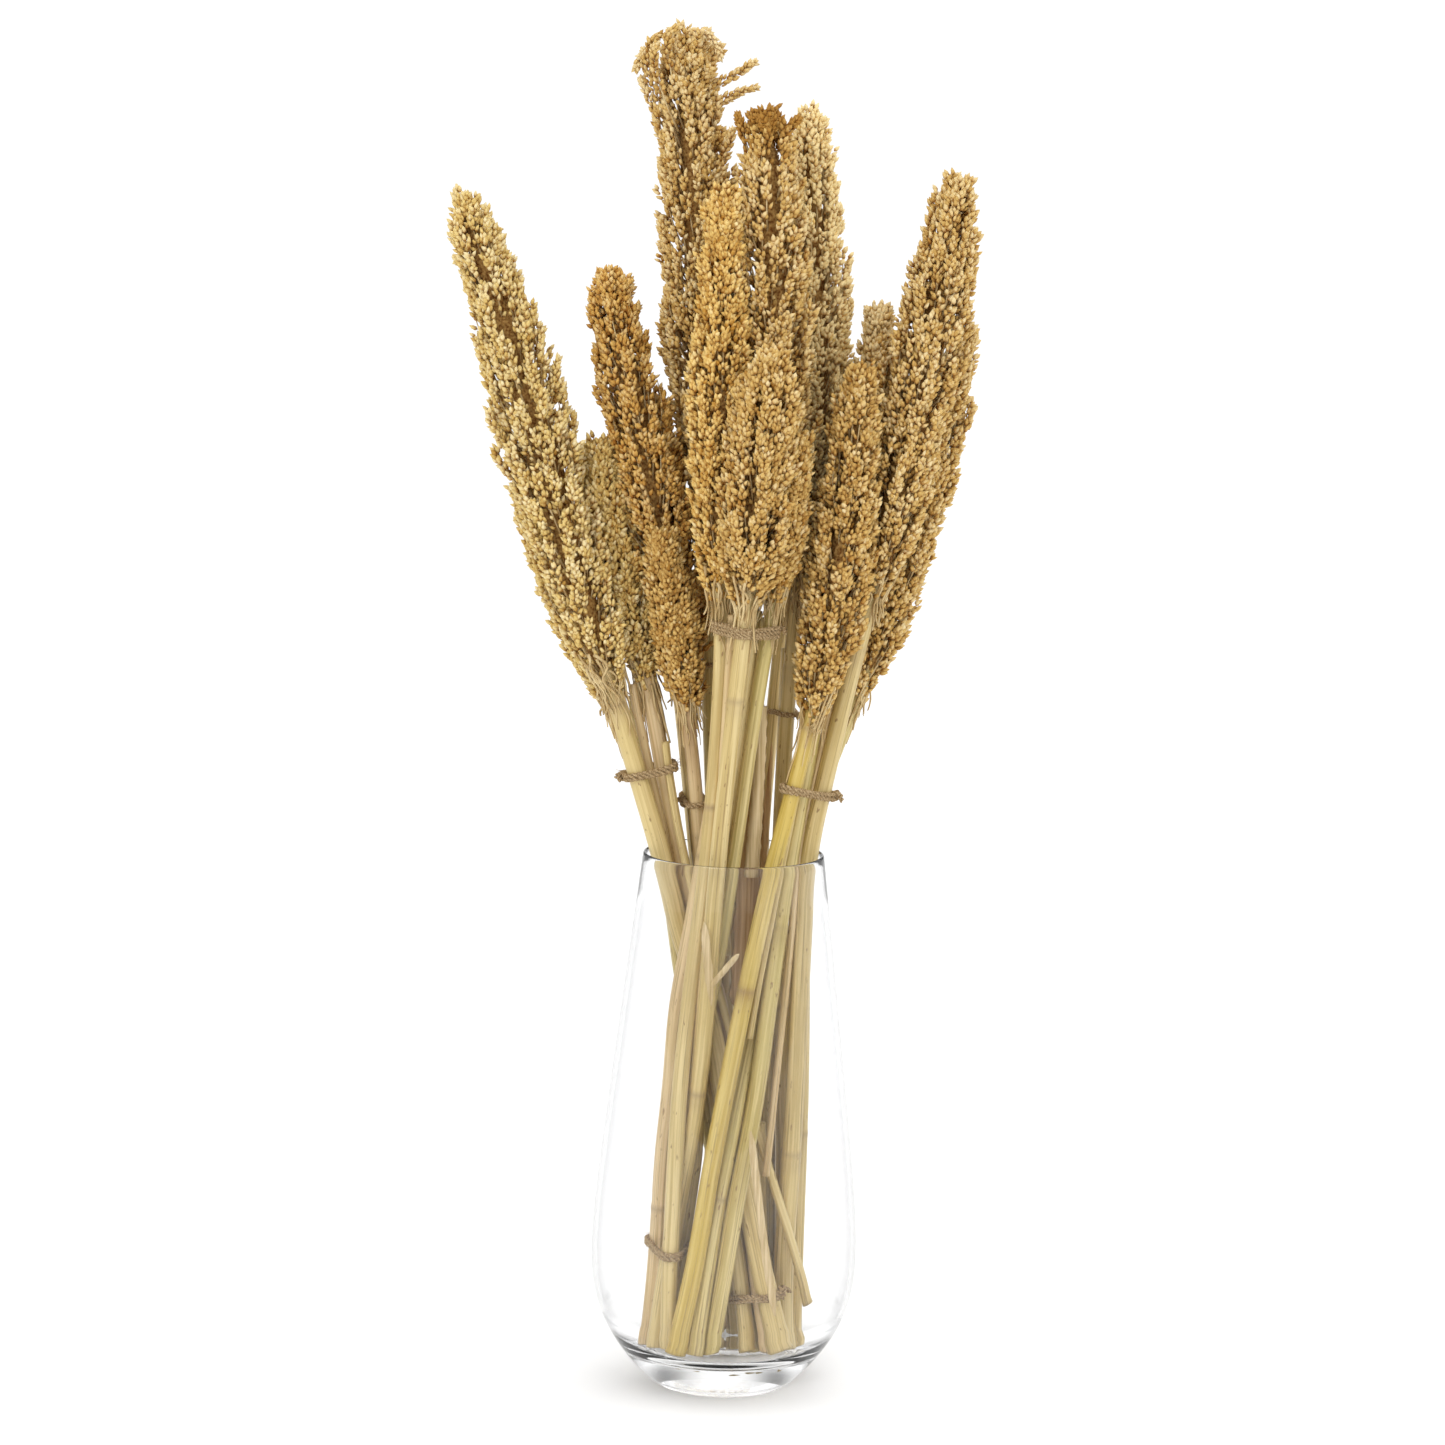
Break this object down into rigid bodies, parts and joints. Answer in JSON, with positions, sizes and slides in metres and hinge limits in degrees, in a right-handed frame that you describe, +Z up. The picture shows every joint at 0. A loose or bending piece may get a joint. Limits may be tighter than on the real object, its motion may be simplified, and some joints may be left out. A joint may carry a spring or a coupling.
{
  "type": "bundles of dried sorghum grass in a glass vase",
  "caption": "Tied bundles of dried sorghum with dense golden seed heads, leaning in a clear tapered glass vase with a heavy base.",
  "frame": {"origin": "centre of the vase's resting face", "axes": "+Z up, -Y towards the front, +X to the right as seen from the front"},
  "size_m": [0.2834, 0.1496, 0.744],
  "materials": {
    "vase_glass": "polished",
    "stalk": "satin",
    "seed_head": "matte",
    "dry_leaf": "matte",
    "twine": "matte"
  },
  "bodies": {
    "root": {"glass_vase": "vase_glass", "left_stalk_1": "stalk", "left_head_1": "seed_head", "left_stalk_2": "stalk", "left_head_2": "seed_head", "left_stalk_3": "stalk", "left_head_3": "seed_head", "left_stalk_4": "stalk", "left_head_4": "seed_head", "left_stalk_5": "stalk", "inner_left_stalk_1": "stalk", "inner_left_head_1": "seed_head", "inner_left_stalk_2": "stalk", "inner_left_head_2": "seed_head", "inner_left_stalk_3": "stalk", "inner_left_head_3": "seed_head", "tall_stalk_1": "stalk", "tall_head_1": "seed_head", "tall_stalk_2": "stalk", "tall_head_2": "seed_head", "tall_stalk_3": "stalk", "front_stalk_1": "stalk", "front_head_1": "seed_head", "front_stalk_2": "stalk", "front_head_2": "seed_head", "front_stalk_3": "stalk", "front_head_3": "seed_head", "front_stalk_4": "stalk", "front_head_4": "seed_head", "front_stalk_5": "stalk", "golden_stalk_1": "stalk", "golden_head_1": "seed_head", "golden_stalk_2": "stalk", "golden_head_2": "seed_head", "golden_stalk_3": "stalk", "right_stalk_1": "stalk", "right_head_1": "seed_head", "right_stalk_2": "stalk", "right_head_2": "seed_head", "right_stalk_3": "stalk", "right_head_3": "seed_head", "right_stalk_4": "stalk", "right_head_4": "seed_head", "right_stalk_5": "stalk", "right_head_5": "seed_head", "dry_leaf_1": "dry_leaf", "dry_leaf_2": "dry_leaf", "cut_sheath": "dry_leaf", "left_tie_1": "twine", "left_tie_2": "twine", "inner_left_tie_1": "twine", "tall_tie_1": "twine", "front_tie_1": "twine", "front_tie_2": "twine", "golden_tie_1": "twine", "right_tie_1": "twine"}
  },
  "joints": []
}
